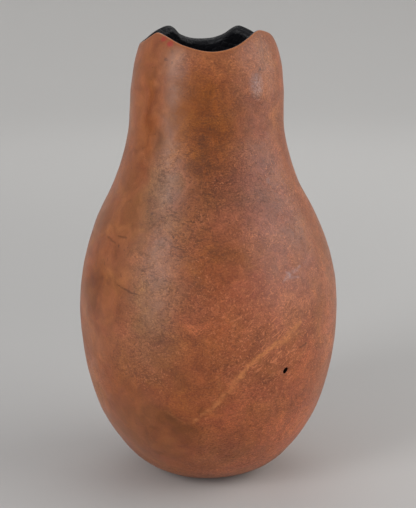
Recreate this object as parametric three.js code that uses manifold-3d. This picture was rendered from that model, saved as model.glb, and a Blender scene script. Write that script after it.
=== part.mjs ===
// Carved gourd: the dried, hollow shell of a bottle gourd with a pear-shaped belly and a wide
// neck. Its top is cut off along a waved line with four humps and four dips.
// Millimetres, +Z up. The origin is in the flat spot under the belly, on the upright axis.
// The front faces -Y. Azimuths turn from there towards +X, which is the right-hand side.

import * as THREE from 'three';
import { mergeVertices } from 'three/addons/utils/BufferGeometryUtils.js';
import Module from 'manifold-3d';

// Driving dimensions: the outline, as radius and height from the foot up to the shoulder
const FOOT_RADIUS = 19;
const BELLY_RADIUS = 68.7;
const BELLY_HEIGHT = 88;
const NECK_RADIUS = 39;
const NECK_HEIGHT = 208;
const OUTLINE = [
  [FOOT_RADIUS, 0],
  [30, 3],
  [40, 9],
  [49, 19],
  [59, 36],
  [65.8, 60],
  [BELLY_RADIUS, BELLY_HEIGHT],
  [66, 114],
  [58.5, 138],
  [47.5, 160],
  [40.6, 184],
  [NECK_RADIUS, NECK_HEIGHT],
  [37, 222],
  [34, 231],
  [29.2, 239],
];

// The waved rim, as azimuth in degrees and height of the outer edge, once round from the front
const RIM = [
  [2, 229],
  [20, 230.4],
  [38, 234.5],
  [50, 237],
  [60, 237.9],
  [72, 236.8],
  [89, 233.8],
  [108, 231.1],
  [124, 232],
  [136, 235.2],
  [147, 237.1],
  [156, 235.4],
  [166, 232],
  [177, 229.8],
  [193, 229.7],
  [206, 232.1],
  [215, 235.8],
  [224, 237.3],
  [236, 235.7],
  [254, 231.4],
  [272, 230.3],
  [290, 232.4],
  [298, 234.6],
  [306, 236.9],
  [321, 235.4],
  [340, 231.7],
];

// Wall, from the foot to the rim, and the small round on both edges of the cut
const WALL_AT_FOOT = 6.8;
const WALL_AT_RIM = 5.2;
const EDGE_ROUND = 0.9;

// Natural unevenness: a shell a little flatter from front to back, slow lobes and a bent axis
const FRONT_TO_BACK = 0.985;
const TOTAL_HEIGHT = 240;
const LOBES = [
  { count: 2, share: 0.006, start: 0.9, twist: 1.6 },
  { count: 3, share: 0.004, start: -0.7, twist: 2.3 },
  { count: 5, share: 0.0022, start: 1.9, twist: -3.1 },
];
const TOP_LEAN = -0.77;
const BENDS = [
  { shift: -1.4, height: 172.6, spread: 44.5 },
  { shift: -0.55, height: 0, spread: 22 },
];

// The oblong hole low on the right of the front
const HOLE_AZIMUTH = 34.6;
const HOLE_HEIGHT = 72.7;
const HOLE_LENGTH = 3.5;
const HOLE_WIDTH = 2.3;
const HOLE_TILT = 50;
const HOLE_SIDES = 14;
const HOLE_CUTTER_LENGTH = 24;

// How finely the surface is divided
const COLUMNS = 64;
const OUTER_ROWS = 38;
const INNER_ROWS = 22;
const OUTLINE_STEPS = 30 * (OUTLINE.length - 1);
const SLOPE_STEP = 0.5;
const MERGE_DISTANCE = 1e-4;

const SHELL_MATERIAL = new THREE.MeshStandardMaterial({
  name: 'gourd_skin',
  color: '#a06442',
  roughness: 0.45,
  metalness: 0,
});

const degrees = (angle) => THREE.MathUtils.degToRad(angle);

// The outline as three columns that rise together: height, radius and length along the skin
const outlineCurve = new THREE.CatmullRomCurve3(
  OUTLINE.map(([radius, height]) => new THREE.Vector3(radius, 0, height)),
  false,
  'centripetal',
);
const outlinePoints = outlineCurve.getPoints(OUTLINE_STEPS);
const heights = outlinePoints.map((point) => point.z);
const radii = outlinePoints.map((point) => point.x);
const lengths = [0];
for (let i = 1; i < outlinePoints.length; i += 1) {
  lengths.push(lengths[i - 1] + outlinePoints[i].distanceTo(outlinePoints[i - 1]));
}

// Straight-line reading of one rising column against another, carried on past both ends
function read(value, from, to) {
  const last = from.length - 1;
  const above = from.findIndex((key) => key > value);
  const i = above < 0 ? last : Math.max(above, 1);
  const share = (value - from[i - 1]) / (from[i] - from[i - 1]);
  return to[i - 1] + share * (to[i] - to[i - 1]);
}

const radiusAt = (height) => read(height, heights, radii);

// The outward direction of the skin, as its parts along the radius and upwards
function outwardAt(height) {
  const rise = 2 * SLOPE_STEP;
  const slope = (radiusAt(height + SLOPE_STEP) - radiusAt(height - SLOPE_STEP)) / rise;
  const size = Math.hypot(1, slope);
  return { radial: 1 / size, upward: -slope / size };
}

function unevenness(azimuth, height) {
  const turn = height / TOTAL_HEIGHT;
  return LOBES.reduce(
    (sum, lobe) => sum + lobe.share * Math.cos(lobe.count * azimuth + lobe.start + lobe.twist * turn),
    1,
  );
}

function leanAt(height) {
  return BENDS.reduce(
    (sum, bend) => sum + bend.shift * Math.exp(-(((height - bend.height) / bend.spread) ** 2)),
    TOP_LEAN * (height / TOTAL_HEIGHT),
  );
}

// A point of the shell: under the skin at this azimuth and height, as deep as stated
function shellPoint(azimuth, height, depth) {
  const outward = outwardAt(height);
  const radius = (radiusAt(height) - depth * outward.radial) * unevenness(azimuth, height);
  return new THREE.Vector3(
    radius * Math.sin(azimuth) + leanAt(height),
    -radius * Math.cos(azimuth) * FRONT_TO_BACK,
    height - depth * outward.upward,
  );
}

// Height of the rim at an azimuth: a smooth closed curve through the points of RIM
function rimHeight(azimuth) {
  const count = RIM.length;
  const knot = (i) => {
    const turns = Math.floor(i / count);
    const [angle, height] = RIM[i - turns * count];
    return { angle: angle + 360 * turns, height };
  };
  const slopeAt = (i) => {
    const [before, after] = [knot(i - 1), knot(i + 1)];
    return (after.height - before.height) / (after.angle - before.angle);
  };
  const angle = THREE.MathUtils.radToDeg(azimuth);
  let i = -1;
  while (knot(i + 1).angle <= angle) i += 1;
  const [start, end] = [knot(i), knot(i + 1)];
  const span = end.angle - start.angle;
  const t = (angle - start.angle) / span;
  const eased = t * t * (3 - 2 * t);
  const leaving = t * (1 - t) ** 2 * span * slopeAt(i);
  const arriving = -t * t * (1 - t) * span * slopeAt(i + 1);
  return start.height + (end.height - start.height) * eased + leaving + arriving;
}

function wallAt(height) {
  return THREE.MathUtils.lerp(WALL_AT_FOOT, WALL_AT_RIM, height / TOTAL_HEIGHT);
}

// One upright line of points: up the outside, over the rounded cut and down the inside
function columnAt(azimuth) {
  const top = rimHeight(azimuth);
  const wall = wallAt(top);
  const skinLength = read(top, heights, lengths) - EDGE_ROUND;
  const heightOf = (share) => read(share * skinLength, lengths, heights);
  const points = [];
  for (let i = 0; i <= OUTER_ROWS; i += 1) {
    points.push(shellPoint(azimuth, heightOf(i / OUTER_ROWS), 0));
  }
  const nearEdge = EDGE_ROUND * (1 - Math.SQRT1_2);
  const cut = [
    [nearEdge, nearEdge],
    [EDGE_ROUND, 0],
    [wall - EDGE_ROUND, 0],
    [wall - nearEdge, nearEdge],
  ];
  for (const [depth, belowCut] of cut) {
    points.push(shellPoint(azimuth, top - belowCut * outwardAt(top).radial, depth));
  }
  for (let i = INNER_ROWS; i >= 0; i -= 1) {
    const height = heightOf(i / INNER_ROWS);
    points.push(shellPoint(azimuth, height, wallAt(height)));
  }
  return points;
}

// The closed shell: the columns joined all round, with a fan in the foot and one inside it
function shellGeometry() {
  const columns = [];
  for (let j = 0; j < COLUMNS; j += 1) {
    columns.push(columnAt((2 * Math.PI * j) / COLUMNS));
  }
  const rows = columns[0].length;
  const points = columns.flat();
  const at = (row, column) => (column % COLUMNS) * rows + row;
  const underFoot = points.length;
  points.push(new THREE.Vector3(leanAt(0), 0, 0));
  const insideFoot = points.length;
  points.push(new THREE.Vector3(leanAt(0), 0, columns[0][rows - 1].z));

  const faces = [];
  for (let j = 0; j < COLUMNS; j += 1) {
    for (let i = 0; i < rows - 1; i += 1) {
      faces.push(at(i, j), at(i, j + 1), at(i + 1, j + 1));
      faces.push(at(i, j), at(i + 1, j + 1), at(i + 1, j));
    }
    faces.push(underFoot, at(0, j + 1), at(0, j));
    faces.push(insideFoot, at(rows - 1, j), at(rows - 1, j + 1));
  }
  const geometry = new THREE.BufferGeometry().setFromPoints(points);
  geometry.setIndex(faces);
  return geometry;
}

// An oval bar that goes straight through the wall where the hole is
function holeCutter() {
  const azimuth = degrees(HOLE_AZIMUTH);
  const step = 0.01;
  const centre = shellPoint(azimuth, HOLE_HEIGHT, WALL_AT_FOOT / 2);
  const around = shellPoint(azimuth + step, HOLE_HEIGHT, 0)
    .sub(shellPoint(azimuth - step, HOLE_HEIGHT, 0))
    .normalize();
  const up = shellPoint(azimuth, HOLE_HEIGHT + 1, 0).sub(shellPoint(azimuth, HOLE_HEIGHT - 1, 0));
  const outward = around.clone().cross(up).normalize();
  const along = around.clone().applyAxisAngle(outward, degrees(HOLE_TILT));
  const across = along.clone().cross(outward);
  const bar = new THREE.CylinderGeometry(1, 1, HOLE_CUTTER_LENGTH, HOLE_SIDES);
  bar.scale(HOLE_LENGTH / 2, 1, HOLE_WIDTH / 2);
  bar.applyMatrix4(new THREE.Matrix4().makeBasis(along, outward, across).setPosition(centre));
  return bar;
}

// Boolean cut of two closed geometries
const manifold = await Module();
manifold.setup();

function toSolid(geometry) {
  const bare = geometry.clone();
  bare.deleteAttribute('normal');
  bare.deleteAttribute('uv');
  const merged = mergeVertices(bare, MERGE_DISTANCE);
  return new manifold.Manifold(new manifold.Mesh({
    numProp: 3,
    vertProperties: new Float32Array(merged.attributes.position.array),
    triVerts: new Uint32Array(merged.index.array),
  }));
}

function toGeometry(solid) {
  const mesh = solid.getMesh();
  const geometry = new THREE.BufferGeometry();
  geometry.setAttribute('position', new THREE.BufferAttribute(mesh.vertProperties, 3));
  geometry.setIndex(new THREE.BufferAttribute(mesh.triVerts, 1));
  geometry.computeVertexNormals();
  return geometry;
}

const shell = toSolid(shellGeometry()).subtract(toSolid(holeCutter()));

const gourd = new THREE.Group();
const gourdShell = new THREE.Mesh(toGeometry(shell), SHELL_MATERIAL);
gourdShell.name = 'gourd_shell';
gourd.add(gourdShell);

export default gourd;
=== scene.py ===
"""Looks of the carved gourd: a dried, hollow bottle gourd with a waved rim, painted black inside.

Lengths are written in millimetres and turned into metres by MM where a mesh is made. Only the
backdrop and the lights are written in metres. The front faces -Y. Azimuths turn from there
towards +X, and heights are above the surface.
"""

import math

import bpy
import numpy as np
from mathutils import Matrix, Vector, noise


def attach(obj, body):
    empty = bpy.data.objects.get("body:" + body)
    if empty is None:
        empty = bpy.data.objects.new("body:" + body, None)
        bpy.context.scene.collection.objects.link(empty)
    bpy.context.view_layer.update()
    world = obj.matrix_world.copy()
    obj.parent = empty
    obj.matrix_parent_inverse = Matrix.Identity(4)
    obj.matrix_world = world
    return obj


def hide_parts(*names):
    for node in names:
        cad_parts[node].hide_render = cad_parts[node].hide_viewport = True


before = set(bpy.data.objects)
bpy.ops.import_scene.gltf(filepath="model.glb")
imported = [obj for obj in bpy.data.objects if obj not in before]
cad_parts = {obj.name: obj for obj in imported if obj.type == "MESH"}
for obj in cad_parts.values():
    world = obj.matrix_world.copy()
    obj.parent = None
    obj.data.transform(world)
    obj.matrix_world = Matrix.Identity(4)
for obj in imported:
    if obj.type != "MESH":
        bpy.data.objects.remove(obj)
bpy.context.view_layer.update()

MM = 0.001

# Shape, the same as the solid's: the outline as radius and height from the foot up
OUTLINE = [
    (19, 0), (30, 3), (40, 9), (49, 19), (59, 36), (65.8, 60), (68.7, 88), (66, 114),
    (58.5, 138), (47.5, 160), (40.6, 184), (39, 208), (37, 222), (34, 231), (29.2, 239),
]
# The waved rim, as azimuth in degrees and height of the outer edge, once round from the front
RIM = [
    (2, 229), (20, 230.4), (38, 234.5), (50, 237), (60, 237.9), (72, 236.8), (89, 233.8),
    (108, 231.1), (124, 232), (136, 235.2), (147, 237.1), (156, 235.4), (166, 232),
    (177, 229.8), (193, 229.7), (206, 232.1), (215, 235.8), (224, 237.3), (236, 235.7),
    (254, 231.4), (272, 230.3), (290, 232.4), (298, 234.6), (306, 236.9), (321, 235.4),
    (340, 231.7),
]
WALL_AT_FOOT = 6.8
WALL_AT_RIM = 5.2
EDGE_ROUND = 0.9
INNER_ROUND = 2.4
FRONT_TO_BACK = 0.985
TOTAL_HEIGHT = 240
# Slow lobes of the wall: how many, share of the radius, start and twist in radians
LOBES = [(2, 0.006, 0.9, 1.6), (3, 0.004, -0.7, 2.3), (5, 0.0022, 1.9, -3.1)]
TOP_LEAN = -0.77
# Sideways bends of the axis: shift, height and spread
BENDS = [(-1.4, 172.6, 44.5), (-0.55, 0, 22)]

# Fineness of the mesh
COLUMNS = 256
OUTER_ROWS = 226
EDGE_STEPS = 4
CUT_STEPS = 4
INNER_STEPS = 6
INNER_ROWS = 90
OUTLINE_STEPS = 40
SLOPE_STEP = 0.5

# Natural relief in layers of lumps: depth, size and seed. The paint fills part of the pith's.
SKIN_RELIEF = [(0.35, 30, 3), (0.16, 9, 11)]
PITH_RELIEF = [(0.5, 12, 23), (0.3, 4, 31)]
PITH_SHARE = 0.7
FULL_RELIEF_HEIGHT = 6
# The blossom scar, a shallow dimple round a small button, as rings across the foot from its edge
# inwards: share of the foot's radius and rise above the surface
FOOT_RINGS = [
    (0.95, 0), (0.86, 0.05), (0.72, 0.12), (0.58, 0.16), (0.46, 0.20), (0.36, 0.30),
    (0.29, 0.60), (0.23, 1.10), (0.17, 1.25), (0.12, 1.05), (0.08, 0.70), (0.04, 0.55),
]
FOOT_BUTTON_RISE = 0.5
# Unevenness of those rings, written as the relief is, but with a share of the rise as its depth
FOOT_RELIEF = [(0.6, 5, 41)]

# The oblong hole through the wall, and the oval bar that cuts it
HOLE = {"azimuth": 34.6, "height": 72.7, "length": 3.5, "width": 2.3, "tilt": 50}
BAR_SIDES = 36
BAR_LAYERS = 7
BAR_REACH = 6.0
BAR_RAGGED = 0.09

# Tones of the skin. The grey also paints a highlight, the moss and the mauve also paint sheen,
# and the coral also paints light
TAN = (0.315, 0.101, 0.034)
ORANGE = (0.315, 0.090, 0.026)
HONEY = (0.30, 0.078, 0.006)
BRICK = (0.25, 0.062, 0.009)
RUST = (0.42, 0.103, 0.031)
CORAL_AND_LIGHT = (0.53, 0.140, 0.048)
SHEEN_MAUVE = (0.37, 0.104, 0.062)
PLUM = (0.22, 0.054, 0.040)
UMBER = (0.155, 0.042, 0.006)
SOOT = (0.05, 0.016, 0.012)
GRIME = (0.085, 0.024, 0.008)
BARK = (0.115, 0.034, 0.008)
MOSS_AND_SHEEN = (0.265, 0.099, 0.036)
SAND = (0.37, 0.126, 0.046)
STRAW = (0.66, 0.235, 0.075)
FLECK = (0.72, 0.240, 0.098)
ASH_AND_HIGHLIGHT = (0.48, 0.35, 0.34)
DYE = (0.42, 0.028, 0.025)

# Broad stains with soft, wandering edges: azimuth and height, width and tallness, tone and strength.
# Those that show from the front come first, then those of the back and the far sides. A few, as
# marked, are painted sheen or painted light rather than stains.
STAINS = [
    (-50, 130, 62, 120, TAN, 0.75),
    (-54, 205, 30, 95, ORANGE, 0.45),
    (-46, 196, 15, 72, BRICK, 0.95),
    (-24, 208, 26, 50, UMBER, 0.25),
    (-44, 168, 16, 26, BRICK, 0.40),
    (2, 196, 46, 84, HONEY, 0.85),
    (2, 186, 30, 52, UMBER, 0.45),
    (38, 195, 34, 70, PLUM, 0.25),
    (16, 190, 38, 72, UMBER, 0.35),
    (40, 173, 40, 40, PLUM, 0.35),
    (96, 200, 40, 110, TAN, 0.70),
    (60, 206, 34, 76, SAND, 0.50),
    (-1, 166, 30, 50, UMBER, 0.55),
    (18, 166, 56, 40, UMBER, 0.50),
    (34, 152, 72, 74, PLUM, 0.50),
    # painted sheen: a mauve tone where the right window's pinkish sheen lies on the belly
    (30, 112, 64, 56, SHEEN_MAUVE, 0.60),
    (4, 94, 66, 80, RUST, 0.55),
    (8, 50, 96, 70, RUST, 0.75),
    (44, 66, 60, 80, RUST, 0.60),
    # painted light: the lower right made lighter, where light from the right reaches low
    (52, 30, 80, 60, RUST, 0.85),
    (42, 32, 84, 60, CORAL_AND_LIGHT, 0.65),
    (30, 103, 44, 56, FLECK, 0.25),
    (-8, 64, 56, 60, BRICK, 0.60),
    (-14, 97, 36, 54, BRICK, 0.50),
    (-25, 84, 30, 60, UMBER, 0.30),
    (-33, 70, 40, 44, UMBER, 0.30),
    (-33, 44, 54, 48, UMBER, 0.45),
    (-60, 112, 34, 70, BRICK, 0.60),
    (-61, 110, 24, 52, UMBER, 0.62),
    (4, 134, 56, 44, BRICK, 0.45),
    (-34, 30, 60, 36, UMBER, 0.35),
    (-14, 45, 40, 30, UMBER, 0.85),
    # painted sheen: a greyer, greener tone along the band where the left window's sheen lies
    (-28, 160, 34, 130, MOSS_AND_SHEEN, 0.90),
    (-24, 102, 44, 84, MOSS_AND_SHEEN, 0.75),
    (-14, 207, 26, 60, HONEY, 0.55),
    (-15, 204, 24, 44, UMBER, 0.42),
    (2, 82, 54, 46, BRICK, 0.50),
    (12, 34, 76, 50, BRICK, 0.25),
    (24, 15, 58, 32, CORAL_AND_LIGHT, 0.45),
    (-72, 58, 44, 90, SAND, 0.70),
    (66, 84, 34, 110, FLECK, 0.20),
    (150, 124, 84, 120, HONEY, 0.55),
    (200, 172, 62, 74, UMBER, 0.45),
    (232, 84, 84, 96, TAN, 0.70),
    (176, 46, 96, 60, RUST, 0.70),
    (264, 190, 40, 84, MOSS_AND_SHEEN, 0.60),
    (122, 66, 56, 60, CORAL_AND_LIGHT, 0.35),
    (216, 208, 22, 60, BRICK, 0.60),
    (158, 188, 44, 64, PLUM, 0.45),
]
# Where the wax is thicker or thinner than elsewhere: azimuth and height, width and tallness, change
WAX = [(-24, 198, 48, 74, -0.28), (18, 128, 76, 140, 0.22), (-84, 104, 80, 170, -0.34)]
# Places where the skin is smooth and hardly crackled: azimuth and height, width and tallness
SMOOTH = [
    (-60, 135, 78, 190), (-46, 205, 62, 100), (-40, 36, 84, 76),
    (190, 88, 76, 120), (246, 192, 52, 96),
]
# Single ovals: the most crackled and the most flecked skin, the band of painted sheen from the left
# window and the calm neck
CRACKLED = (-12, 150, 90, 190)
FLECKED = (30, 90, 120, 130)
SHEEN_BAND = (-27, 140, 62, 200)
CALM_NECK = (-4, 190, 62, 84)
# Small marks, as the stains are written, darker or lighter than the skin round them
SPOTS = [
    (44.5, 219.4, 1.7, 2.0, SOOT, 0.85),
    (2.9, 192.5, 1.4, 4.5, SOOT, 0.50),
    (-29.4, 228.5, 2.6, 3.4, SOOT, 0.30),
    (-33.4, 224.4, 2.6, 2.6, SOOT, 0.40),
    (-27.8, 223.2, 2.0, 2.4, SOOT, 0.40),
    (-41.4, 234.2, 4.6, 4.8, DYE, 1.0),
    (-32.8, 232.1, 5.2, 4.6, DYE, 1.0),
    (-30.7, 150.8, 2.6, 2.6, SOOT, 0.50),
    (-47.0, 133.3, 2.6, 2.2, SOOT, 0.45),
    (-42.4, 132.2, 2.0, 2.0, SOOT, 0.35),
    (-3.3, 44.5, 1.4, 4.0, SOOT, 0.35),
    (-6.0, 43.5, 1.2, 3.6, SOOT, 0.25),
    (-16.9, 49.6, 9.0, 5.0, UMBER, 0.60),
    (-3.1, 54.8, 7.0, 5.0, UMBER, 0.50),
    (-27.0, 41.6, 7.0, 4.0, UMBER, 0.50),
    (-29.6, 24.8, 9.0, 5.0, UMBER, 0.50),
    (43.5, 164.9, 4.0, 5.0, ASH_AND_HIGHLIGHT, 0.22),
    # painted highlight: the large grey spot high on the right of the neck
    (40.3, 211.8, 12.0, 17.0, ASH_AND_HIGHLIGHT, 0.50),
    (195.0, 62.0, 10.0, 6.0, UMBER, 0.50),
    (170.0, 76.0, 12.0, 7.0, UMBER, 0.45),
    (240.0, 121.0, 2.6, 2.6, SOOT, 0.50),
    (131.0, 150.0, 2.2, 2.8, SOOT, 0.50),
    (206.0, 187.0, 1.8, 3.6, SOOT, 0.45),
    (21.8, 79.8, 4.5, 4.0, ORANGE, 0.60),
]
# Lines, as azimuth, height and half width in turn, with a tone and a strength
LINES = {
    "scar": ([(43, 96.5, 1.4), (38, 93.5, 2.8), (33, 90, 2.4), (23, 84.5, 2.4), (16.4, 78.6, 2.2),
              (13, 73.5, 2.0)], STRAW, 0.90),
    "scar_foot": ([(13, 73.5, 2.2), (9.6, 68, 2.6), (2.6, 57.9, 2.3), (-6.5, 49, 1.6)],
                  STRAW, 0.65),
    "scar_side": ([(41, 91.5, 1.0), (35, 89, 1.8), (29, 85.5, 1.2)], STRAW, 0.45),
    "scar_fork": ([(4.5, 73.9, 1.2), (3.7, 66.8, 1.6)], STRAW, 0.30),
    "scar_tail": ([(-15.5, 50.6, 1.0), (-6.2, 50.6, 1.2)], STRAW, 0.20),
    "arc": ([(-19.8, 53.7, 1.2), (-11, 46.5, 1.8), (-4, 49.6, 1.2)], STRAW, 0.16),
    "scratch": ([(-43.2, 115.2, 0.6), (-37.6, 114, 1.1), (-34.7, 112.9, 1.0), (-30.5, 112.5, 0.5)],
                BARK, 0.85),
    "long_dash": ([(-57.5, 136, 0.9), (-50, 134.1, 1.1)], BARK, 0.60),
    "short_dash": ([(-48.7, 138, 1.0), (-43.2, 137.9, 0.9)], BARK, 0.65),
    "streak": ([(42.3, 83, 1.1), (46.3, 84.8, 1.4)], BARK, 0.60),
    "pale_streak": ([(42, 77.6, 0.9), (46.8, 82.6, 1.2)], STRAW, 0.60),
    "bloom": ([(35, 118, 1.4), (40, 121, 2.4), (47, 123.5, 1.4)], ASH_AND_HIGHLIGHT, 0.36),
    "bloom_fork": ([(37.5, 122, 1.2), (41, 119, 1.8), (45, 118.5, 1.1)], ASH_AND_HIGHLIGHT, 0.25),
    "hole_arc": ([(19, 75.2, 0.7), (20.5, 80, 0.9), (25, 83, 0.7)], STRAW, 0.35),
    "back_scar": ([(168, 128, 0.9), (176, 118, 2.0), (188, 106, 2.4), (199, 98, 1.7),
                   (207, 95, 0.9)], STRAW, 0.65),
    "back_scratch": ([(222, 142, 0.5), (228, 137, 1.1), (233, 130, 0.6)], BARK, 0.70),
    "side_scratch": ([(108, 118, 0.5), (113, 121, 1.0), (119, 120, 0.5)], BARK, 0.70),
    "side_streak": ([(128, 66, 0.9), (136, 58, 1.7), (141, 49, 0.9)], STRAW, 0.45),
    "side_nick": ([(268, 84, 0.6), (274, 90, 1.3), (277, 97, 0.7)], STRAW, 0.45),
}

# Camera, in front of the gourd. The frame's longer side, its height, is what the sensor spans.
FOCAL_PIXELS = 1263
FRAME_HEIGHT = 508
SENSOR = 36
CAMERA_DISTANCE = 672
CAMERA_ELEVATION = 14.7
CAMERA_AIM = (-0.76, 0, 118.6)

# Backdrop, in metres: a round floor with a wall that curves up from it all round
FLOOR_RADIUS = 1.3
CURVE_RADIUS = 0.9
MIDDLE_RADIUS = 0.0001
BACKDROP_SIDES = 96
FLOOR_RINGS = 12
FIRST_FLOOR_RING = 0.1
CURVE_RINGS = 16
FIRST_CURVE_ANGLE = 0.1
PAPER = (0.575, 0.567, 0.556, 1)

# Soft rectangular lights: name, azimuth and elevation, distance, width and height, power, colour
# and the place that they are turned to
GOURD_MIDDLE = (0, 0, 0.12)
BACKDROP_BEHIND = (0, 2.1, 0.15)
LIGHTS = [
    ("window_right", 86, 21, 1.15, (1.36, 0.85), 8.6, (1.0, 0.99, 0.97), GOURD_MIDDLE),
    ("window_left", -47, 20, 1.2, (0.40, 0.9), 7.4, (0.98, 0.99, 1.0), GOURD_MIDDLE),
    ("window_behind", 178, 48, 1.5, (1.1, 0.8), 3.0, (1.0, 1.0, 0.99), GOURD_MIDDLE),
    ("backdrop_lamp", 0, 35, 1.5, (1.8, 0.5), 4.8, (1.0, 0.99, 0.97), BACKDROP_BEHIND),
]
# Light of the room, which grows from the lower to the upper level as a direction turns towards
# the brightest one, above and behind the gourd
ROOM_COLOR = (0.62, 0.62, 0.63, 1)
ROOM_BRIGHTEST = (0.15, 0.25, 0.6)
ROOM_LEVELS = {"From Min": -0.5, "From Max": 0.6, "To Min": 0.18, "To Max": 0.64}


def outline_table():
    """Centripetal Catmull-Rom curve through OUTLINE, as heights, radii and lengths along the skin."""
    p = np.array(OUTLINE, float)
    p = np.vstack([2 * p[0] - p[1], p, 2 * p[-1] - p[-2]])
    rows = []
    for a, b, c, d in zip(p[:-3], p[1:-2], p[2:-1], p[3:]):
        before, here, after = (math.sqrt(np.linalg.norm(v)) for v in (b - a, c - b, d - c))
        start = ((b - a) / before - (c - a) / (before + here) + (c - b) / here) * here
        end = ((c - b) / here - (d - b) / (here + after) + (d - c) / after) * here
        t = np.linspace(0, 1, OUTLINE_STEPS, endpoint=False)[:, None]
        rows.append(b + start * t + (3 * (c - b) - 2 * start - end) * t**2
                    + (2 * (b - c) + start + end) * t**3)
    rows.append(p[-2:-1])
    points = np.vstack(rows)
    steps = np.linalg.norm(np.diff(points, axis=0), axis=1)
    return points[:, 1], points[:, 0], np.concatenate([[0], np.cumsum(steps)])


HEIGHTS, RADII, LENGTHS = outline_table()


def radius_at(height):
    return np.interp(height, HEIGHTS, RADII)


def outward_at(height):
    """The outward direction of the skin: its part along the radius and its part upwards."""
    low = np.clip(height - SLOPE_STEP, 0, None)
    high = np.minimum(height + SLOPE_STEP, HEIGHTS[-1])
    slope = (radius_at(high) - radius_at(low)) / (high - low)
    size = np.hypot(1, slope)
    return 1 / size, -slope / size


def wall_at(height):
    return WALL_AT_FOOT + (WALL_AT_RIM - WALL_AT_FOOT) * height / TOTAL_HEIGHT


def shell_points(azimuth, height, depth):
    """Points under the skin, as an array with x, y and z in millimetres in its last axis."""
    radial, upward = outward_at(height)
    turn = height / TOTAL_HEIGHT
    uneven = 1 + sum(s * np.cos(n * azimuth + a + w * turn) for n, s, a, w in LOBES)
    lean = TOP_LEAN * turn + sum(s * np.exp(-((height - h) / w) ** 2) for s, h, w in BENDS)
    radius = (radius_at(height) - depth * radial) * uneven
    return np.stack([
        radius * np.sin(azimuth) + lean,
        -radius * np.cos(azimuth) * FRONT_TO_BACK,
        height - depth * upward,
    ], axis=-1)


def rim_height(azimuth):
    """Height of the rim: a smooth closed curve through the points of RIM."""
    angles, heights = np.array(RIM, float).T
    angles = np.concatenate([angles[-2:] - 360, angles, angles[:2] + 360])
    heights = np.concatenate([heights[-2:], heights, heights[:2]])
    slopes = np.zeros_like(heights)
    slopes[1:-1] = (heights[2:] - heights[:-2]) / (angles[2:] - angles[:-2])
    angle = np.degrees(azimuth) % 360
    i = np.searchsorted(angles, angle, side="right") - 1
    span = angles[i + 1] - angles[i]
    t = (angle - angles[i]) / span
    eased = t * t * (3 - 2 * t)
    return (heights[i] + (heights[i + 1] - heights[i]) * eased
            + t * (1 - t) ** 2 * span * slopes[i] - t * t * (1 - t) * span * slopes[i + 1])


def skin_point(azimuth_degrees, height, depth=0):
    """One point on or under the skin, in metres."""
    return Vector(shell_points(math.radians(azimuth_degrees), float(height), depth)) * MM


def lumps(points, size, seed):
    """Smooth noise about zero at each point, with lumps of the stated size."""
    flat = points.reshape(-1, 3) / size + seed
    return np.array([noise.noise(Vector(p)) for p in flat]).reshape(points.shape[:-1])


def relief(points, layers):
    """Layers of lumps added up, each with its depth, size and seed."""
    return sum(depth * lumps(points, size, seed) for depth, size, seed in layers)


def column_grid():
    """Azimuths, heights and depths of the mesh, row by row from the foot over the rim to the inside."""
    azimuth = np.linspace(0, 2 * np.pi, COLUMNS, endpoint=False)
    top = rim_height(azimuth)
    length = np.interp(top, HEIGHTS, LENGTHS) - EDGE_ROUND
    radial = outward_at(top)[0]
    wall = wall_at(top)
    rows = []
    for share in np.linspace(0, 1, OUTER_ROWS):
        rows.append((np.interp(share * length, LENGTHS, HEIGHTS), np.zeros(COLUMNS)))
    outer_rows = len(rows)
    quarter = np.linspace(0, np.pi / 2, EDGE_STEPS + 1)[1:]
    for angle in quarter:
        below = EDGE_ROUND * (1 - np.sin(angle))
        rows.append((top - below * radial, np.full(COLUMNS, EDGE_ROUND * (1 - np.cos(angle)))))
    for share in np.linspace(0, 1, CUT_STEPS + 1)[1:-1]:
        rows.append((top, EDGE_ROUND + share * (wall - EDGE_ROUND - INNER_ROUND)))
    for angle in np.linspace(np.pi / 2, 0, INNER_STEPS + 1):
        below = INNER_ROUND * (1 - np.sin(angle))
        rows.append((top - below * radial, wall - INNER_ROUND * (1 - np.cos(angle))))
    inside = np.interp(top - INNER_ROUND * radial, HEIGHTS, LENGTHS)
    for share in np.linspace(1, 0, INNER_ROWS + 1)[1:]:
        height = np.interp(share * inside, LENGTHS, HEIGHTS)
        rows.append((height, wall_at(height)))
    heights, depths = (np.array(column) for column in zip(*rows))
    return np.broadcast_to(azimuth, heights.shape), heights, depths, outer_rows


def foot_rings(edge):
    """Rings across the foot with the blossom scar, from the innermost outwards, and its middle."""
    middle = edge.mean(axis=0)
    rings = []
    for share, rise in FOOT_RINGS:
        ring = middle + share * (edge - middle)
        ring[:, 2] = rise * (1 + relief(ring, FOOT_RELIEF))
        rings.append(ring)
    middle[2] = FOOT_BUTTON_RISE
    return np.array(rings[::-1]), middle


def shell_rows():
    """Rows of points from the middle of the foot over the rim to the inside.

    With them come both end points, under and over the foot, and the first row of painted faces.
    """
    azimuth, height, depth, outer_rows = column_grid()
    points = shell_points(azimuth, height, depth)
    # the relief is faded out at the foot so that it stays flat
    fade = np.clip(height / FULL_RELIEF_HEIGHT, 0, 1)
    outside = np.arange(len(height))[:, None] < outer_rows + EDGE_STEPS
    skin = relief(points, SKIN_RELIEF)
    pith = relief(points, PITH_RELIEF)
    points = shell_points(azimuth, height, depth - fade * np.where(outside, skin, pith * PITH_SHARE))
    rings, under = foot_rings(points[0])
    over = np.array([under[0], 0, points[-1, :, 2].mean()])
    first_painted = len(rings) + outer_rows + EDGE_STEPS // 2 - 1
    return np.concatenate([rings, points]), under, over, first_painted


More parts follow.
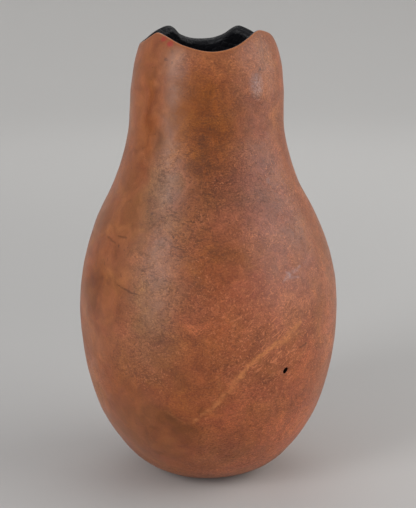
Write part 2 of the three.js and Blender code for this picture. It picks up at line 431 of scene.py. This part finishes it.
def shell_mesh():
    """The gourd as one closed mesh. Faces past the outer edge of the cut carry the black paint."""
    points, under, over, first_painted = shell_rows()
    rows = len(points)
    vertices = np.vstack([points.reshape(-1, 3), under, over]) * MM
    index = np.arange(rows * COLUMNS).reshape(rows, COLUMNS)
    right = np.roll(index, -1, axis=1)
    quads = np.stack([index[:-1], right[:-1], right[1:], index[1:]], axis=-1).reshape(-1, 4)
    foot = [(rows * COLUMNS, int(b), int(a)) for a, b in zip(index[0], right[0])]
    floor = [(rows * COLUMNS + 1, int(a), int(b)) for a, b in zip(index[-1], right[-1])]
    mesh = bpy.data.meshes.new("gourd")
    mesh.from_pydata(vertices.tolist(), [], quads.tolist() + foot + floor)
    row_of_quad = np.repeat(np.arange(rows - 1), COLUMNS)
    painted = np.concatenate([
        row_of_quad >= first_painted,
        np.zeros(len(foot), bool),
        np.ones(len(floor), bool),
    ])
    mesh.polygons.foreach_set("material_index", painted.astype(np.int32))
    mesh.polygons.foreach_set("use_smooth", np.ones(len(painted), bool))
    mesh.update()
    return mesh


def add_object(name, mesh):
    made = bpy.data.objects.new(name, mesh)
    bpy.context.scene.collection.objects.link(made)
    return made


def ring_faces(rings, sides):
    """Four-sided faces between rings of points that follow each other."""
    faces = []
    for ring in range(rings - 1):
        for side in range(sides):
            a = ring * sides + side
            b = ring * sides + (side + 1) % sides
            faces.append((a, b, b + sides, a + sides))
    return faces


def hole_axes():
    """Directions along and across the oblong hole, and out of the wall."""
    azimuth, height = HOLE["azimuth"], HOLE["height"]
    around = (skin_point(azimuth + 1, height) - skin_point(azimuth - 1, height)).normalized()
    up = (skin_point(azimuth, height + 1) - skin_point(azimuth, height - 1)).normalized()
    outward = around.cross(up).normalized()
    along = Matrix.Rotation(math.radians(HOLE["tilt"]), 3, outward) @ around
    return along, outward.cross(along), outward


def hole_bar():
    """An oval bar straight through the wall, with sides that are a little ragged."""
    along, across, outward = hole_axes()
    middle = skin_point(HOLE["azimuth"], HOLE["height"], WALL_AT_FOOT / 2)
    vertices = []
    for layer in range(BAR_LAYERS):
        out = BAR_REACH * (2 * layer / (BAR_LAYERS - 1) - 1) * MM
        for side in range(BAR_SIDES):
            angle = 2 * math.pi * side / BAR_SIDES
            x, y = math.cos(angle), math.sin(angle)
            ragged = 1 + BAR_RAGGED * noise.noise(Vector((2 * x, 2 * y, layer)))
            offset = along * (HOLE["length"] / 2 * x) + across * (HOLE["width"] / 2 * y)
            vertices.append(middle + offset * ragged * MM + outward * out)
    faces = [tuple(reversed(range(BAR_SIDES)))]
    faces += ring_faces(BAR_LAYERS, BAR_SIDES)
    faces.append(tuple(range((BAR_LAYERS - 1) * BAR_SIDES, BAR_LAYERS * BAR_SIDES)))
    mesh = bpy.data.meshes.new("hole_bar")
    mesh.from_pydata(vertices, [], faces)
    mesh.polygons.foreach_set("material_index", np.ones(len(faces), np.int32))
    mesh.update()
    return add_object("hole_bar", mesh)


def cut_hole(gourd):
    """Cuts the oblong hole through the wall. Its sides get the second material, the paint."""
    bar = hole_bar()
    for material in gourd.data.materials:
        bar.data.materials.append(material)
    cut = gourd.modifiers.new("hole", "BOOLEAN")
    cut.operation = "DIFFERENCE"
    cut.solver = "EXACT"
    cut.object = bar
    bpy.context.view_layer.update()
    graph = bpy.context.evaluated_depsgraph_get()
    done = bpy.data.meshes.new_from_object(gourd.evaluated_get(graph))
    gourd.modifiers.clear()
    gourd.data = done
    bpy.data.objects.remove(bar)


def store_rim_distance(mesh):
    """Keeps on each vertex how far it lies below the cut along the skin, in millimetres."""
    places = np.empty(len(mesh.vertices) * 3)
    mesh.vertices.foreach_get("co", places)
    x, y, z = places.reshape(-1, 3).T / MM
    azimuth = np.arctan2(x - TOP_LEAN, -y / FRONT_TO_BACK)
    top = rim_height(azimuth % (2 * np.pi))
    below = np.interp(top, HEIGHTS, LENGTHS) - np.interp(z, HEIGHTS, LENGTHS)
    stored = mesh.attributes.new("below_rim", "FLOAT", "POINT")
    stored.data.foreach_set("value", below.astype(np.float32))


class Nodes:
    """Short ways to add nodes to one material. Places are in millimetres, in the gourd's frame."""

    # the noise seldom leaves the middle quarter of its range
    NOISE_SPREAD = 4
    # a distance from a line that lies well past its edge, in half widths
    FAR = 9.0

    def __init__(self, name):
        self.material = bpy.data.materials.new(name)
        self.material.use_nodes = True
        self.tree = self.material.node_tree
        self.shader = self.tree.nodes["Principled BSDF"]
        place = self.tree.nodes.new("ShaderNodeTexCoord").outputs["Object"]
        self.place = self.vector("SCALE", place, scale=1 / MM)

    def put(self, socket, value):
        if isinstance(value, bpy.types.NodeSocket):
            self.tree.links.new(value, socket)
        else:
            socket.default_value = value

    def vector(self, operation, a, b=(0, 0, 0), scale=1.0):
        node = self.tree.nodes.new("ShaderNodeVectorMath")
        node.operation = operation
        self.put(node.inputs[0], a)
        if operation == "SCALE":
            self.put(node.inputs["Scale"], scale)
        else:
            self.put(node.inputs[1], b)
        return node.outputs["Value" if operation in ("DISTANCE", "LENGTH", "DOT_PRODUCT") else "Vector"]

    def math(self, operation, a, b=0.0, clamp=False, third=0.0):
        node = self.tree.nodes.new("ShaderNodeMath")
        node.operation = operation
        node.use_clamp = clamp
        self.put(node.inputs[0], a)
        self.put(node.inputs[1], b)
        self.put(node.inputs[2], third)
        return node.outputs[0]

    def step(self, value, start, end, low=0.0, high=1.0):
        """low where value is at start, high where it is at end, with a smooth change between."""
        node = self.tree.nodes.new("ShaderNodeMapRange")
        node.interpolation_type = "SMOOTHSTEP"
        self.put(node.inputs["Value"], value)
        for name, number in (("From Min", start), ("From Max", end), ("To Min", low), ("To Max", high)):
            node.inputs[name].default_value = number
        return node.outputs["Result"]

    def noise(self, size, place=None, detail=2.0, rough=0.5, stretch=(1, 1, 1)):
        """Noise from 0 to 1 with features of about the stated size in millimetres."""
        node = self.tree.nodes.new("ShaderNodeTexNoise")
        place = self.place if place is None else place
        scaled = self.vector("MULTIPLY", place, tuple(share / size for share in stretch))
        self.put(node.inputs["Vector"], scaled)
        node.inputs["Scale"].default_value = 1.0
        node.inputs["Detail"].default_value = detail
        node.inputs["Roughness"].default_value = rough
        return node.outputs["Fac"], node.outputs["Color"]

    def cells(self, size, place, feature="DISTANCE_TO_EDGE"):
        """Distance to the edge or, with F1, to the middle of cells of about the stated size."""
        node = self.tree.nodes.new("ShaderNodeTexVoronoi")
        node.feature = feature
        self.put(node.inputs["Vector"], self.vector("SCALE", place, scale=1 / size))
        node.inputs["Scale"].default_value = 1.0
        return node.outputs["Distance"]

    def ridge(self, size, place, half, stretch=(1, 1, 1)):
        """Thin wandering lines where noise passes through its middle value."""
        middle = self.math("SUBTRACT", self.noise(size, place, stretch=stretch)[0], 0.5)
        return self.step(self.math("ABSOLUTE", middle), half, 0.0)

    def mix(self, share, a, b, blend="MIX"):
        node = self.tree.nodes.new("ShaderNodeMix")
        node.data_type = "RGBA"
        node.blend_type = blend
        self.put(node.inputs["Factor"], share)
        self.put(node.inputs["A"], a if isinstance(a, bpy.types.NodeSocket) else (*a, 1))
        self.put(node.inputs["B"], b if isinstance(b, bpy.types.NodeSocket) else (*b, 1))
        return node.outputs["Result"]

    def bump(self, height, depth, strength=1.0, under=None):
        """Bump from a height of 0 to 1 that stands for the stated depth in millimetres."""
        node = self.tree.nodes.new("ShaderNodeBump")
        node.inputs["Strength"].default_value = strength
        node.inputs["Distance"].default_value = depth * MM
        self.put(node.inputs["Height"], height)
        if under is not None:
            self.put(node.inputs["Normal"], under)
        return node.outputs["Normal"]

    def attribute(self, name):
        node = self.tree.nodes.new("ShaderNodeAttribute")
        node.attribute_name = name
        return node.outputs["Fac"]

    def warped(self, size, amount, place=None):
        """The place moved about by noise, by about the stated amount, for uneven edges."""
        place = self.place if place is None else place
        shift = self.vector("SUBTRACT", self.noise(size, place)[1], (0.5, 0.5, 0.5))
        return self.vector("ADD", place, self.vector("SCALE", shift, scale=self.NOISE_SPREAD * amount))

    def sheared(self, across, rise):
        """The place with its height lowered along one level direction, for slanting features."""
        level = self.vector("DOT_PRODUCT", self.place, (*across, 0))
        return self.vector("SUBTRACT", self.place, self.vector("SCALE", (0, 0, rise), scale=level))

    def patch(self, place, centre, width, tall, soft=1.0):
        """1 in the middle of an oval, falling to 0 at its edge."""
        away = self.vector("SUBTRACT", place, centre)
        scaled = self.vector("MULTIPLY", away, (2 / width, 2 / width, 2 / tall))
        return self.step(self.vector("LENGTH", scaled), 1, 1 - soft)

    def line(self, place, spots):
        """1 along a bent line on the skin, falling to 0 at its half width, which changes along it."""
        ends = [(skin_point(azimuth, height) / MM, half) for azimuth, height, half in spots]
        nearest = self.FAR
        for (start, start_half), (end, end_half) in zip(ends, ends[1:]):
            run = end - start
            away = self.vector("SUBTRACT", place, start)
            ahead = self.vector("DOT_PRODUCT", away, run)
            along = self.math("DIVIDE", ahead, run.length_squared, clamp=True)
            off = self.vector("DISTANCE", away, self.vector("SCALE", run, scale=along))
            half = self.math("MULTIPLY_ADD", along, end_half - start_half, third=start_half)
            nearest = self.math("MINIMUM", self.math("DIVIDE", off, half), nearest)
        return self.step(nearest, 1.0, 0.0)


class Skin(Nodes):
    """Dried skin under old wax. Each add step paints over the colour that those before it left."""

    def __init__(self):
        super().__init__("gourd_skin")
        self.color = ORANGE
        self.slow = self.warped(16, 6)
        self.fine = self.warped(3, 0.5)

    def cover(self, tone, mask, strength=None):
        """Paints a tone over the colour, as thickly as the mask and the strength say."""
        share = mask if strength is None else self.math("MULTIPLY", mask, strength)
        self.color = self.mix(share, self.color, tone)

    def tint(self, factor, share=None):
        """Multiplies the colour by a factor, all over or by the stated share."""
        tinted = self.mix(1.0, self.color, factor, "MULTIPLY")
        self.color = tinted if share is None else self.mix(share, self.color, tinted)

    def vary(self, level, low, high, share=None):
        """Multiplies the colour by low where the level is 0 and by high where it is 1."""
        self.tint(self.mix(level, low, high), share)

    def area(self, place, azimuth, height, width, tall, soft=1.0):
        """A patch round a point of the skin."""
        return self.patch(place, skin_point(azimuth, height) / MM, width, tall, soft)

    def add_tones(self):
        """Tones that drift all round, then the stains in their places, some of them painted sheen and
        painted light.
        """
        drift = self.noise(46, detail=3)[0]
        self.cover(TAN, self.step(drift, 0.36, 0.62))
        drift = self.noise(60, self.vector("ADD", self.place, (310, 70, 20)), detail=3)[0]
        self.cover(BRICK, self.step(drift, 0.54, 0.72, high=0.6))
        for azimuth, height, width, tall, tone, strength in STAINS:
            self.cover(tone, self.area(self.slow, azimuth, height, width, tall), strength)

    def add_shades(self):
        """Redder and browner shades, blotches, fine mottling, and streaks on the neck."""
        shade = self.noise(13, self.vector("ADD", self.slow, (90, 30, 60)), detail=3)[0]
        self.vary(shade, (1.04, 0.86, 1.20), (0.97, 1.10, 0.80))
        blotch = self.noise(15, self.slow, detail=4, rough=0.6)[0]
        self.vary(blotch, (0.70, 0.64, 0.62), (1.30, 1.36, 1.40))
        low_down = self.patch(self.slow, (0, 0, 0), 190, 120)
        uneven = self.step(low_down, 0.0, 0.8, low=1.0, high=0.35)
        cloud = self.noise(8, self.vector("ADD", self.slow, (20, 80, 10)), detail=2)[0]
        self.vary(cloud, (0.60, 0.54, 0.54), (1.40, 1.46, 1.46), uneven)
        self.mottle = self.noise(6, self.slow, detail=5, rough=0.65)[0]
        self.vary(self.mottle, (0.66, 0.62, 0.60), (1.34, 1.38, 1.40), uneven)
        neck = self.patch(self.place, (0, 0, 215), 150, 130)
        streaks = self.noise(3.4, self.slow, detail=3, stretch=(1, 1, 0.2))[0]
        self.vary(streaks, (0.66, 0.60, 0.56), (1.34, 1.40, 1.44), neck)

    def find_rough_skin(self):
        """How much the skin is crackled: hardly in the smooth places, and unevenly elsewhere."""
        self.smooth = 0.0
        for azimuth, height, width, tall in SMOOTH:
            mask = self.area(self.slow, azimuth, height, width, tall, soft=0.6)
            self.smooth = self.math("MAXIMUM", mask, self.smooth)
        self.crackled = self.step(self.smooth, 0.0, 1.0, low=1.0, high=0.12)
        worn = self.step(self.noise(24, self.slow, detail=4)[0], 0.25, 0.70, low=0.45)
        self.rough_skin = self.math("MULTIPLY", worn, self.crackled)

    def add_grain(self):
        """The grain of the skin, and finer wrinkles that are a little wider than tall."""
        self.grain = self.noise(0.95, detail=3, rough=0.7)[0]
        share = self.step(self.smooth, 0.0, 1.0, low=1.0, high=0.45)
        self.vary(self.grain, (0.50, 0.46, 0.44), (1.50, 1.54, 1.56), share)
        wrinkle = self.noise(0.70, self.fine, detail=2, rough=0.6, stretch=(0.8, 0.8, 1.2))[0]
        self.wrinkle = self.step(wrinkle, 0.34, 0.66)
        self.vary(self.wrinkle, (0.76, 0.72, 0.74), (1.24, 1.28, 1.26), self.rough_skin)

    def add_cracks(self):
        """Fine dark crackle: wandering hairlines, mostly level, broken into short strokes."""
        hairs = self.ridge(2.6, self.fine, 0.10, stretch=(0.55, 0.55, 1.7))
        small_hairs = self.ridge(1.4, self.fine, 0.09, stretch=(0.6, 0.6, 1.5))
        dashes = self.noise(1.2, self.fine, detail=2, stretch=(0.5, 0.5, 1.7))[0]
        dashes = self.step(dashes, 0.58, 0.68)
        cracks = self.math("MAXIMUM", self.math("MULTIPLY", small_hairs, 0.7), hairs)
        cracks = self.math("MAXIMUM", cracks, self.math("MULTIPLY", dashes, 0.8))
        broken = self.noise(3.0, self.slow, detail=3, rough=0.65)[0]
        broken = self.step(broken, 0.42, 0.56, low=0.12)
        cracks = self.math("MULTIPLY", cracks, broken)
        self.cracks = self.math("MULTIPLY", cracks, self.rough_skin)
        dense = self.area(self.slow, *CRACKLED)
        # the skin between the cracks is lighter, which makes up for their darkness
        self.tint((1.32, 1.32, 1.38), self.math("MULTIPLY", self.rough_skin, 0.6))
        self.cover(GRIME, self.cracks, self.step(dense, 0.0, 1.0, low=0.44, high=0.85))

    def add_flecks(self):
        """Pale flecks and slanting strokes where the outer skin has worn off, and the painted sheen on
        the left.
        """
        rubbed = self.noise(19, self.vector("ADD", self.place, (40, 90, 5)), detail=3)[0]
        rubbed = self.step(rubbed, 0.42, 0.62)
        right = self.area(self.slow, *FLECKED)
        flecks = self.step(self.noise(1.2, self.fine, detail=3, rough=0.65)[0], 0.58, 0.63)
        slanting = self.warped(7, 1.2, self.sheared((0.7, 0.7), 0.8))
        strokes = self.noise(1.9, slanting, detail=3, rough=0.62, stretch=(0.5, 0.5, 1.4))[0]
        strokes = self.step(strokes, 0.585, 0.635)
        bare = self.math("MAXIMUM", flecks, self.math("MULTIPLY", strokes, right))
        places = self.math("MAXIMUM", self.math("MULTIPLY", rubbed, 0.6), right)
        bare = self.math("MULTIPLY", bare, places)
        bare = self.math("MULTIPLY", bare, self.crackled)
        # hardly any of them in the band of painted sheen, or on the middle of the neck
        sheen_band = self.area(self.slow, *SHEEN_BAND)
        calm = self.math("MAXIMUM", sheen_band, self.area(self.slow, *CALM_NECK))
        kept = self.step(calm, 0.0, 0.7, low=1.0, high=0.12)
        self.bare = self.math("MULTIPLY", bare, kept)
        self.cover(FLECK, self.bare, 0.90)
        # painted sheen: the band on the left is tinted greyer, as the left window's sheen is
        self.tint((0.94, 1.07, 1.12), sheen_band)

    def add_spots(self):
        """Sparse dark specks everywhere, and the spots that lie in one place, one of them a painted
        highlight.
        """
        specks = self.step(self.cells(7, self.slow, feature="F1"), 0.10, 0.04)
        self.cover(SOOT, specks, 0.45)
        for azimuth, height, width, tall, tone, strength in SPOTS:
            mask = self.area(self.fine, azimuth, height, width, tall, soft=0.7)
            # the grey spots are broken up by the grain; the large one is the painted highlight
            if tone == ASH_AND_HIGHLIGHT:
                mask = self.math("MULTIPLY", mask, self.step(self.grain, 0.42, 0.60, low=0.35))
            self.cover(tone, mask, strength)

    def add_lines(self):
        """Scars, scratches and streaks. All but the dark ones are ragged, and the pale stand proud."""
        self.proud = 0.0
        ragged = self.warped(4, 0.9, self.fine)
        breaks = self.noise(1.6, ragged, detail=3, rough=0.65)[0]
        breaks = self.step(breaks, 0.34, 0.60, low=0.20)
        for spots, tone, strength in LINES.values():
            if tone == BARK:
                mask = self.line(self.fine, spots)
            else:
                mask = self.math("MULTIPLY", self.line(ragged, spots), breaks)
            self.cover(tone, mask, strength)
            if tone == STRAW:
                self.proud = self.math("MAXIMUM", mask, self.proud)

    def add_foot(self):
        """The foot, rubbed pale where it stands, with the dark blossom scar in its middle."""
        rubbed = self.patch(self.fine, (0, 0, 0), 46, 7)
        rubbed = self.math("MULTIPLY", rubbed, self.step(self.mottle, 0.40, 0.60))
        self.cover(STRAW, rubbed, 0.45)
        self.cover(SOOT, self.patch(self.fine, (0, 0, 0), 11, 11), 0.80)

    def add_edge(self):
        """More orange skin under the cut, and a pale line along its edge."""
        below = self.attribute("below_rim")
        self.cover(ORANGE, self.step(below, 5.0, 1.0, high=0.45))
        self.cover(STRAW, self.step(below, 1.2, 0.8, high=0.35))

    def set_gloss(self):
        """Satin skin, duller where it is mottled, crackled or bare, under an uneven coat of wax."""
        rough = self.math("MULTIPLY_ADD", self.mottle, 0.16, third=0.28)
        for mask, added in ((self.rough_skin, 0.14), (self.cracks, 0.18), (self.bare, 0.10)):
            rough = self.math("MULTIPLY_ADD", mask, added, third=rough)
        self.put(self.shader.inputs["Roughness"], rough)
        self.shader.inputs["IOR"].default_value = 1.45
        self.shader.inputs["Specular IOR Level"].default_value = 0.35
        wax = self.step(self.noise(26, self.slow, detail=3)[0], 0.3, 0.7, low=0.36, high=0.48)
        for azimuth, height, width, tall, change in WAX:
            mask = self.area(self.slow, azimuth, height, width, tall)
            wax = self.math("MULTIPLY_ADD", mask, change, third=wax)
        self.put(self.shader.inputs["Coat Weight"], wax)
        self.shader.inputs["Coat Roughness"].default_value = 0.38
        self.shader.inputs["Coat IOR"].default_value = 1.45

    def set_bumps(self):
        """Waves, grain, wrinkles, sunk cracks and proud flecks and scars, each over the ones before."""
        bump = self.bump(self.noise(6, self.slow, detail=4)[0], 0.30, 0.5)
        bump = self.bump(self.grain, 0.05, 0.6, bump)
        bump = self.bump(self.math("MULTIPLY", self.wrinkle, self.rough_skin), 0.04, 0.7, bump)
        bump = self.bump(self.cracks, -0.09, 0.8, bump)
        bump = self.bump(self.math("MAXIMUM", self.bare, self.proud), 0.05, 0.8, bump)
        self.put(self.shader.inputs["Normal"], bump)


def skin_material():
    """Broad stains, fine crackle, pale flecks, scars and a pale edge line, under old wax.
    Some of the stains and spots are painted sheen, a painted highlight and painted light.
    """
    skin = Skin()
    skin.add_tones()
    skin.add_shades()
    skin.find_rough_skin()
    skin.add_grain()
    skin.add_cracks()
    skin.add_flecks()
    skin.add_spots()
    skin.add_lines()
    skin.add_foot()
    skin.add_edge()
    skin.put(skin.shader.inputs["Base Color"], skin.color)
    skin.set_gloss()
    skin.set_bumps()
    return skin.material


def paint_material():
    """Brushed black paint over rough pith: satin on the cut rim, duller and pitted inside."""
    n = Nodes("black_paint")
    streaks = n.noise(3, n.warped(9, 2), detail=4, stretch=(0.4, 0.4, 1.4))[0]
    pits = n.step(n.cells(3.2, n.warped(4, 0.8)), 0.16, 0.02)
    color = n.mix(streaks, (0.004, 0.004, 0.006), (0.011, 0.011, 0.014))
    n.put(n.shader.inputs["Base Color"], color)
    n.put(n.shader.inputs["Roughness"], n.math("MULTIPLY_ADD", streaks, 0.30, third=0.34))
    n.shader.inputs["Specular IOR Level"].default_value = 0.25
    bump = n.bump(streaks, 0.35, 0.8)
    bump = n.bump(pits, -0.25, 0.6, bump)
    n.put(n.shader.inputs["Normal"], bump)
    return n.material


def make_gourd():
    """The whole gourd: one mesh with the skin and the paint, in place of the CAD shell."""
    mesh = shell_mesh()
    gourd = add_object("gourd", mesh)
    mesh.materials.append(skin_material())
    mesh.materials.append(paint_material())
    cut_hole(gourd)
    store_rim_distance(gourd.data)
    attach(gourd, "root")
    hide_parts("gourd_shell")


def backdrop_profile():
    """Radius and height of each ring of the backdrop, from its middle outwards."""
    profile = [(MIDDLE_RADIUS, 0.0)]
    for radius in np.linspace(FIRST_FLOOR_RING, FLOOR_RADIUS, FLOOR_RINGS):
        profile.append((radius, 0.0))
    for angle in np.linspace(FIRST_CURVE_ANGLE, math.pi / 2, CURVE_RINGS):
        radius = FLOOR_RADIUS + CURVE_RADIUS * math.sin(angle)
        profile.append((radius, CURVE_RADIUS * (1 - math.cos(angle))))
    return profile


def make_stage():
    """A pale floor that curves up far away, all round, so that every view has the same backdrop."""
    profile = backdrop_profile()
    vertices = []
    for radius, height in profile:
        for side in range(BACKDROP_SIDES):
            angle = 2 * math.pi * side / BACKDROP_SIDES
            vertices.append((radius * math.cos(angle), radius * math.sin(angle), height))
    faces = ring_faces(len(profile), BACKDROP_SIDES)
    mesh = bpy.data.meshes.new("backdrop")
    mesh.from_pydata(vertices, [], faces)
    mesh.polygons.foreach_set("use_smooth", np.ones(len(faces), bool))
    paper = Nodes("backdrop_paper")
    paper.shader.inputs["Base Color"].default_value = PAPER
    paper.shader.inputs["Roughness"].default_value = 0.9
    mesh.materials.append(paper.material)
    backdrop = add_object("backdrop", mesh)


def add_light(name, azimuth, elevation, distance, size, power, color, aim):
    """A soft rectangular light that looks at its aim from the stated side and distance."""
    light = bpy.data.lights.new(name, "AREA")
    light.shape = "RECTANGLE"
    light.size, light.size_y = size
    light.energy = power
    light.color = color
    lamp = add_object(name, light)
    a, e = math.radians(azimuth), math.radians(elevation)
    back = Vector((math.sin(a) * math.cos(e), -math.cos(a) * math.cos(e), math.sin(e)))
    lamp.location = Vector(aim) + back * distance
    lamp.rotation_euler = (-back).to_track_quat("-Z", "Y").to_euler()


def light_room():
    """Even light from all round, stronger from one direction, which stays with the room."""
    world = bpy.data.worlds.new("room")
    world.use_nodes = True
    tree = world.node_tree
    background = tree.nodes["Background"]
    background.inputs["Color"].default_value = ROOM_COLOR
    toward = tree.nodes.new("ShaderNodeVectorMath")
    toward.operation = "DOT_PRODUCT"
    toward.inputs[1].default_value = ROOM_BRIGHTEST
    place = tree.nodes.new("ShaderNodeTexCoord")
    tree.links.new(place.outputs["Generated"], toward.inputs[0])
    level = tree.nodes.new("ShaderNodeMapRange")
    for name, number in ROOM_LEVELS.items():
        level.inputs[name].default_value = number
    tree.links.new(toward.outputs["Value"], level.inputs["Value"])
    tree.links.new(level.outputs["Result"], background.inputs["Strength"])
    bpy.context.scene.world = world


def make_camera():
    data = bpy.data.cameras.new("camera")
    data.sensor_width = SENSOR
    data.lens = FOCAL_PIXELS / FRAME_HEIGHT * SENSOR
    camera = add_object("camera", data)
    e = math.radians(CAMERA_ELEVATION)
    back = Vector((0, -math.cos(e), math.sin(e)))
    camera.location = (Vector(CAMERA_AIM) + back * CAMERA_DISTANCE) * MM
    camera.rotation_euler = (-back).to_track_quat("-Z", "Y").to_euler()
    data.clip_start, data.clip_end = 0.01, 50
    bpy.context.scene.camera = camera


make_camera()
make_gourd()
make_stage()
for light in LIGHTS:
    add_light(*light)
light_room()
bpy.context.scene.view_settings.view_transform = "Standard"
